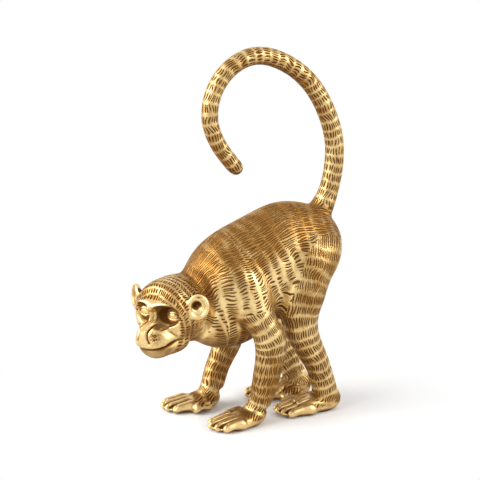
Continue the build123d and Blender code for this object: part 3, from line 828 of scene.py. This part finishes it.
def makeCasting(name):
    settings = pieceSettings[name]
    piece = bpy.data.objects.new(name + "Casting", body.data.copy())
    scene.collection.objects.link(piece)
    cutAway(piece, settings["cuts"])
    coarser = 2 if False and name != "head" else 1
    runModifier(piece, "REMESH", mode="VOXEL", voxel_size=settings["voxel"] * coarser * millimetre)
    edges = edgesOf(piece)
    places = smoothed(placesOf(piece), edges, skin["softenRounds"])
    # real stains on the face and paws, together with painted shade in recesses and under things
    stainAndShade = np.zeros(len(places))

    def normalsAt(moved):
        setPlaces(piece, moved)
        return normalsOf(piece)

    if name == "head":
        places, stainAndShade = sculptFace(places, normalsAt)
        places = smoothed(places, edges, *face["soften"])
    if name in paws:
        places, stainAndShade = shapePaw(name, places, normalsAt, edges)
    normals = normalsAt(places)

    # rows of strokes, sunk into the surface
    belongs, ownShare = seamSides(name, places, edges)
    layouts = [addLayout(piece, "furRows", name, places), addLayout(piece, "bodyRows", "trunk", places)]
    trunk = pieceSettings["trunk"]
    bodyTurn, bodyRadius = alongLine(places, centreLines["trunk"], trunk["first"], trunk["aspect"])[1:]
    cover, dense = coverOf(name, places, bodyTurn, bodyRadius)
    bodyCover, bodyDense = coverOf("trunk", places, bodyTurn, bodyRadius)
    cover = cover * ownShare + bodyCover * (1 - ownShare)
    dense = dense * ownShare + bodyDense * (1 - ownShare)
    band = rowBand(calcNumbers, layouts[0][0])
    sink = fur["bandDepth"] * band * (1 - finish["bandEase"] * dense) * cover * ownShare
    sink = sink + fur["strokeDepth"] * allStrokes(calcNumbers, layouts, dense, cover, ownShare, fur["edge"])
    setPlaces(piece, places - normals * sink[:, None])

    # what the gold's patina and painted shade read
    places = placesOf(piece)
    normals = normalsOf(piece)
    # painted shade: faces that look down are darkened, as the shade under the belly and limbs
    stainAndShade = np.maximum(stainAndShade, finish["underShade"] * smoothStep(*finish["under"], -normals[:, 2]))
    # patina and painted shade: concave places, fine hollows and wide valleys, are darkened
    near = smoothed(places, edges, finish["hollowRounds"])
    wide = smoothed(near, edges, finish["valleyRounds"])
    hollow = ((near - places) * normals).sum(1) / finish["hollowDepth"]
    valley = ((wide - near) * normals).sum(1) / finish["valleyDepth"]
    for title, values in (("furCover", cover), ("furDense", dense), ("furOwn", ownShare), ("stainAndShade", stainAndShade),
                          ("hollow", np.clip(hollow, -1, 1)), ("valley", np.clip(valley, -1, 1))):
        attribute = piece.data.attributes.new(title, "FLOAT", "POINT")
        attribute.data.foreach_set("value", values.astype(np.float32))
    closeSeams(piece, belongs)
    piece.data.materials.append(gold)
    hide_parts(name)
    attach(piece, "root")
    print(name, len(piece.data.polygons), "faces")


def joined(start, unseen, nextOnes):
    # all that hangs together with the start, taken out of the unseen
    group, heap = [], [start]
    while heap:
        member = heap.pop()
        group.append(member)
        for linked in nextOnes(member):
            if linked in unseen:
                unseen.remove(linked)
                heap.append(linked)
    return group


def closeSeams(piece, belongs):
    # drops what isn't this casting's and closes each seam with a shallow cone
    mesh = bmesh.new()
    mesh.from_mesh(piece.data)
    mesh.verts.ensure_lookup_table()
    dropped = [face for face in mesh.faces
               if np.mean([belongs[vertex.index] for vertex in face.verts]) < -skin["seamOverlap"]]
    bmesh.ops.delete(mesh, geom=dropped, context="FACES")
    # only the largest island stays
    unseen = set(mesh.faces)
    islands = []
    while unseen:
        islands.append(joined(unseen.pop(), unseen, lambda face: [
            linked for edge in face.edges for linked in edge.link_faces]))
    islands.sort(key=len)
    for island in islands[:-1]:
        bmesh.ops.delete(mesh, geom=island, context="FACES")
    unseen = {edge for edge in mesh.edges if len(edge.link_faces) == 1}
    while unseen:
        rims = joined(unseen.pop(), unseen, lambda edge: [
            linked for vertex in edge.verts for linked in vertex.link_edges])
        middle = Vector((0, 0, 0))
        inward = Vector((0, 0, 0))
        for rim in rims:
            middle += (rim.verts[0].co + rim.verts[1].co) / 2
            inward -= rim.link_faces[0].normal
        apex = mesh.verts.new(middle / len(rims) + inward.normalized() * skin["seamDepth"] * millimetre)
        for rim in rims:
            rim.smooth = False
            corner = rim.link_loops[0]
            mesh.faces.new((corner.link_loop_next.vert, corner.vert, apex))
    for face in mesh.faces:
        face.smooth = True
    mesh.to_mesh(piece.data)
    mesh.free()


def addNode(tree, kind, inputs, **settings):
    # inputs are values or other nodes' sockets
    node = tree.nodes.new("ShaderNode" + kind)
    for title, value in settings.items():
        setattr(node, title, value)
    for key, value in inputs.items():
        if isinstance(value, bpy.types.NodeSocket):
            tree.links.new(value, node.inputs[key])
        else:
            node.inputs[key].default_value = value
    return node


gold = bpy.data.materials.new("chasedGold")
gold.use_nodes = True


def buildGold():
    tree = gold.node_tree
    shader = tree.nodes["Principled BSDF"]

    def calc(operation, *values, clamp=False):
        return addNode(tree, "Math", dict(enumerate(values)), operation=operation, use_clamp=clamp).outputs[0]

    def read(title):
        return addNode(tree, "Attribute", {}, attribute_name=title).outputs["Fac"]

    def blendColours(share, first, second):
        # the colours of a mix are its inputs 6 and 7
        colours = [(*colour, 1) if isinstance(colour, tuple) else colour for colour in (first, second)]
        inputs = {"Factor": share, 6: colours[0], 7: colours[1]}
        return addNode(tree, "Mix", inputs, data_type="RGBA").outputs[2]

    layouts = []
    for title in ("furRows", "bodyRows"):
        layout = addNode(tree, "UVMap", {}, uv_map=title)
        split = addNode(tree, "SeparateXYZ", {0: layout.outputs[0]})
        layouts.append((split.outputs["X"], split.outputs["Y"]))
    dense, cover, own, stainAndShade = read("furDense"), read("furCover"), read("furOwn"), read("stainAndShade")
    stroke = allStrokes(calc, layouts, dense, cover, own, finish["strokeEdge"])
    place = addNode(tree, "TexCoord", {}).outputs["Object"]

    def speckle(scale, detail):
        spots = addNode(tree, "TexNoise", {"Vector": place, "Scale": scale, "Detail": detail})
        return calc("SUBTRACT", spots.outputs["Fac"], 0.5)

    cloud, grain = speckle(*finish["cloud"]), speckle(*finish["grain"])
    hollow = calc("MAXIMUM", read("hollow"), 0.0)
    valley = calc("MAXIMUM", read("valley"), 0.0)
    # a brown wash in the rows, with patina and painted shade in the valleys and stained places
    band = calc("MULTIPLY", rowBand(calc, layouts[0][0]), own)
    band = calc("MULTIPLY_ADD", rowBand(calc, layouts[1][0]), calc("SUBTRACT", 1.0, own), band)
    band = calc("MULTIPLY", calc("MAXIMUM", band, closeness(calc, dense)), cover)
    washAndShade = finish["leastWash"]
    for amount, title in ((valley, "valleyShadeWash"), (band, "bandWash"), (cloud, "cloudWash"),
                          (grain, "grainWash"), (calc("MULTIPLY", dense, cover), "denseWash"),
                          (stainAndShade, "stainShadeWash")):
        washAndShade = calc("MULTIPLY_ADD", amount, finish[title], washAndShade)
    washAndShade = calc("ADD", washAndShade, 0.0, clamp=True)
    # dark patina in the strokes, with patina and painted shade in the hollows and stained places
    strokeDark = calc("MULTIPLY_ADD", closeness(calc, dense), finish["closeDark"], finish["strokeDark"])
    dark = calc("MULTIPLY", stroke, strokeDark)
    dark = calc("MAXIMUM", dark, calc("MULTIPLY", hollow, finish["hollowDark"]))
    dark = calc("MAXIMUM", dark, calc("MULTIPLY_ADD", stainAndShade, *finish["stainShadeDark"]), clamp=True)
    colour = blendColours(washAndShade, finish["gold"], finish["washAndShade"])
    colour = blendColours(dark, colour, finish["patina"])
    rough = calc("MULTIPLY_ADD", dark, finish["darkRough"], finish["roughness"])
    rough = calc("MULTIPLY_ADD", washAndShade, finish["washRough"], rough)
    height = calc("MULTIPLY", stroke, finish["strokeBump"])
    height = calc("MULTIPLY_ADD", cloud, finish["cloudBump"], height)
    height = calc("MULTIPLY_ADD", grain, finish["grainBump"], height)
    bump = addNode(tree, "Bump", {"Distance": finish["bump"], "Strength": 1.0, "Height": height})
    for title, socket in (("Base Color", colour), ("Roughness", rough), ("Normal", bump.outputs[0]),
                          ("Metallic", calc("MULTIPLY_ADD", dark, finish["darkMetal"], 1.0))):
        tree.links.new(socket, shader.inputs[title])


buildGold()
bodyPlaces = placesOf(body)
strokeTables = {name: strokeTable(name) for name in castings}
print("rows of fur laid out")
for name in castings:
    makeCasting(name)
bpy.data.objects.remove(body)

# the pins, the plug and the pads under the paws
plain = {
    "pin_steel": {"colour": (0.55, 0.54, 0.52), "metal": 1.0, "rough": 0.32, "scale": 900, "bump": 0.1},
    "plug_brass": {"colour": (0.6, 0.4, 0.15), "metal": 1.0, "rough": 0.38, "scale": 300, "bump": 0.2},
    "felt": {"colour": (0.09, 0.065, 0.05), "metal": 0.0, "rough": 0.95, "scale": 1600, "bump": 0.8},
}
plainShades = {"darker": 0.7, "lighter": 1.3, "detail": 4, "bump": 0.0003}


def plainFinish(title):
    values = plain[title]
    made = bpy.data.materials.new(title + "Finish")
    made.use_nodes = True
    tree = made.node_tree
    shader = tree.nodes["Principled BSDF"]
    shader.inputs["Metallic"].default_value = values["metal"]
    shader.inputs["Roughness"].default_value = values["rough"]
    place = addNode(tree, "TexCoord", {}).outputs["Object"]
    inputs = {"Vector": place, "Scale": values["scale"], "Detail": plainShades["detail"]}
    grain = addNode(tree, "TexNoise", inputs).outputs["Fac"]
    dark, light = ((*[min(part * plainShades[shade], 1) for part in values["colour"]], 1)
                   for shade in ("darker", "lighter"))
    colours = addNode(tree, "Mix", {"Factor": grain, 6: dark, 7: light}, data_type="RGBA")
    tree.links.new(colours.outputs[2], shader.inputs["Base Color"])
    inputs = {"Distance": plainShades["bump"], "Strength": values["bump"], "Height": grain}
    tree.links.new(addNode(tree, "Bump", inputs).outputs[0], shader.inputs["Normal"])
    return made


finishes = {title: plainFinish(title) for title in plain}
for name, node in frame["nodes"].items():
    kind = "pin_steel" if name.endswith("_pin") else "felt" if name.endswith("_pad") else "plug_brass"
    if name not in castings:
        for slot in node.material_slots:
            slot.material = finishes[kind]
        print(name, kind)

# floor, lights and camera, in metres
studio = {
    "floorSize": 12.0,
    "paper": 0.9,
    "paperMiddle": (0.02, -0.02, 0),
    "paperFade": (0.07, 0.22),  # away from the object the paper turns to plain white
    "lightShare": 0.7,  # what the white room gives as light on the object
    "cameraSide": (0.86, -0.45, 0.1),
    "roomFade": (-0.1, 0.9),
    "cameraSideShare": 0.79,
    "aim": (0, 0, 0.12),
    "leftLamp": {"place": (-0.2, -1.3, 0.9), "size": (1.6, 1.4), "power": 33},
    "rightLamp": {"place": (0.9, 0.9, 0.8), "size": (0.6, 0.9), "power": 10},
}
bpy.ops.mesh.primitive_plane_add(size=studio["floorSize"], location=(0, 0, 0))
floor = bpy.context.object
floor.name = "floor"


def seenWhite(tree):
    # white for the camera and in reflections, and less as light on the object
    rays = addNode(tree, "LightPath", {}).outputs
    seen = addNode(tree, "Math", {0: rays["Is Camera Ray"], 1: rays["Is Glossy Ray"]}, operation="MAXIMUM")
    inputs = {"Value": seen.outputs[0], "To Min": studio["lightShare"], "To Max": 1.0}
    return addNode(tree, "MapRange", inputs).outputs[0], rays["Is Camera Ray"]


def buildPaper(tree):
    # pale paper with the object's shadow
    tree.nodes.clear()
    diffuse = addNode(tree, "BsdfDiffuse", {"Color": (*[studio["paper"]] * 3, 1)})
    glow = addNode(tree, "Emission", {"Strength": seenWhite(tree)[0]})
    place = addNode(tree, "TexCoord", {}).outputs["Object"]
    centred = addNode(tree, "Mapping", {"Vector": place, "Location": studio["paperMiddle"]})
    length = addNode(tree, "VectorMath", {0: centred.outputs[0]}, operation="LENGTH").outputs["Value"]
    low, high = studio["paperFade"]
    far = addNode(tree, "MapRange", {"Value": length, "From Min": low, "From Max": high},
                  interpolation_type="SMOOTHSTEP")
    mix = addNode(tree, "MixShader", {0: far.outputs[0], 1: diffuse.outputs[0], 2: glow.outputs[0]})
    addNode(tree, "OutputMaterial", {"Surface": mix.outputs[0]})


def buildRoom(tree):
    # a white room, a little darker behind the camera
    tree.nodes.clear()
    white, toCamera = seenWhite(tree)
    direction = addNode(tree, "TexCoord", {}).outputs["Generated"]
    facing = addNode(tree, "VectorMath", {0: direction, 1: studio["cameraSide"]}, operation="DOT_PRODUCT")
    low, high = studio["roomFade"]
    room = addNode(tree, "MapRange", {"Value": facing.outputs["Value"], "From Min": low, "From Max": high,
                                      "To Min": 1.0, "To Max": studio["cameraSideShare"]},
                   interpolation_type="SMOOTHSTEP")
    dimmed = addNode(tree, "Math", {0: room.outputs[0], 1: white}, operation="MULTIPLY")
    shown = addNode(tree, "Math", {0: toCamera, 1: dimmed.outputs[0]}, operation="MAXIMUM")
    background = addNode(tree, "Background", {"Color": (1, 1, 1, 1), "Strength": shown.outputs[0]})
    addNode(tree, "OutputWorld", {"Surface": background.outputs[0]})


paper = bpy.data.materials.new("floorPaper")
paper.use_nodes = True
buildPaper(paper.node_tree)
floor.data.materials.append(paper)
world = bpy.data.worlds.new("studio")
scene.world = world
world.use_nodes = True
buildRoom(world.node_tree)

view = {"azimuth": 62.0, "elevation": 14.0, "distance": 1.4, "target": (-0.031, 0.0175, 0.132),
        "lens": 133.0, "sensor": 36.0}
azimuth = math.radians(view["azimuth"])
elevation = math.radians(view["elevation"])
back = Vector((math.sin(azimuth) * math.cos(elevation), -math.cos(azimuth) * math.cos(elevation),
               math.sin(elevation)))
camera = bpy.data.objects.new("camera", bpy.data.cameras.new("camera"))
camera.location = Vector(view["target"]) + back * view["distance"]
camera.rotation_euler = back.to_track_quat("Z", "Y").to_euler()
camera.data.lens = view["lens"]
camera.data.sensor_width = view["sensor"]
scene.collection.objects.link(camera)
scene.camera = camera
scene.view_settings.view_transform = "Standard"


def softLamp(name):
    settings = studio[name]
    lamp = bpy.data.objects.new(name, bpy.data.lights.new(name, "AREA"))
    lamp.data.shape = "RECTANGLE"
    lamp.data.size, lamp.data.size_y = settings["size"]
    lamp.data.energy = settings["power"]
    lamp.location = settings["place"]
    toAim = Vector(settings["place"]) - Vector(studio["aim"])
    lamp.rotation_euler = toAim.to_track_quat("Z", "Y").to_euler()
    scene.collection.objects.link(lamp)


softLamp("leftLamp")
softLamp("rightLamp")
print("studio set up")
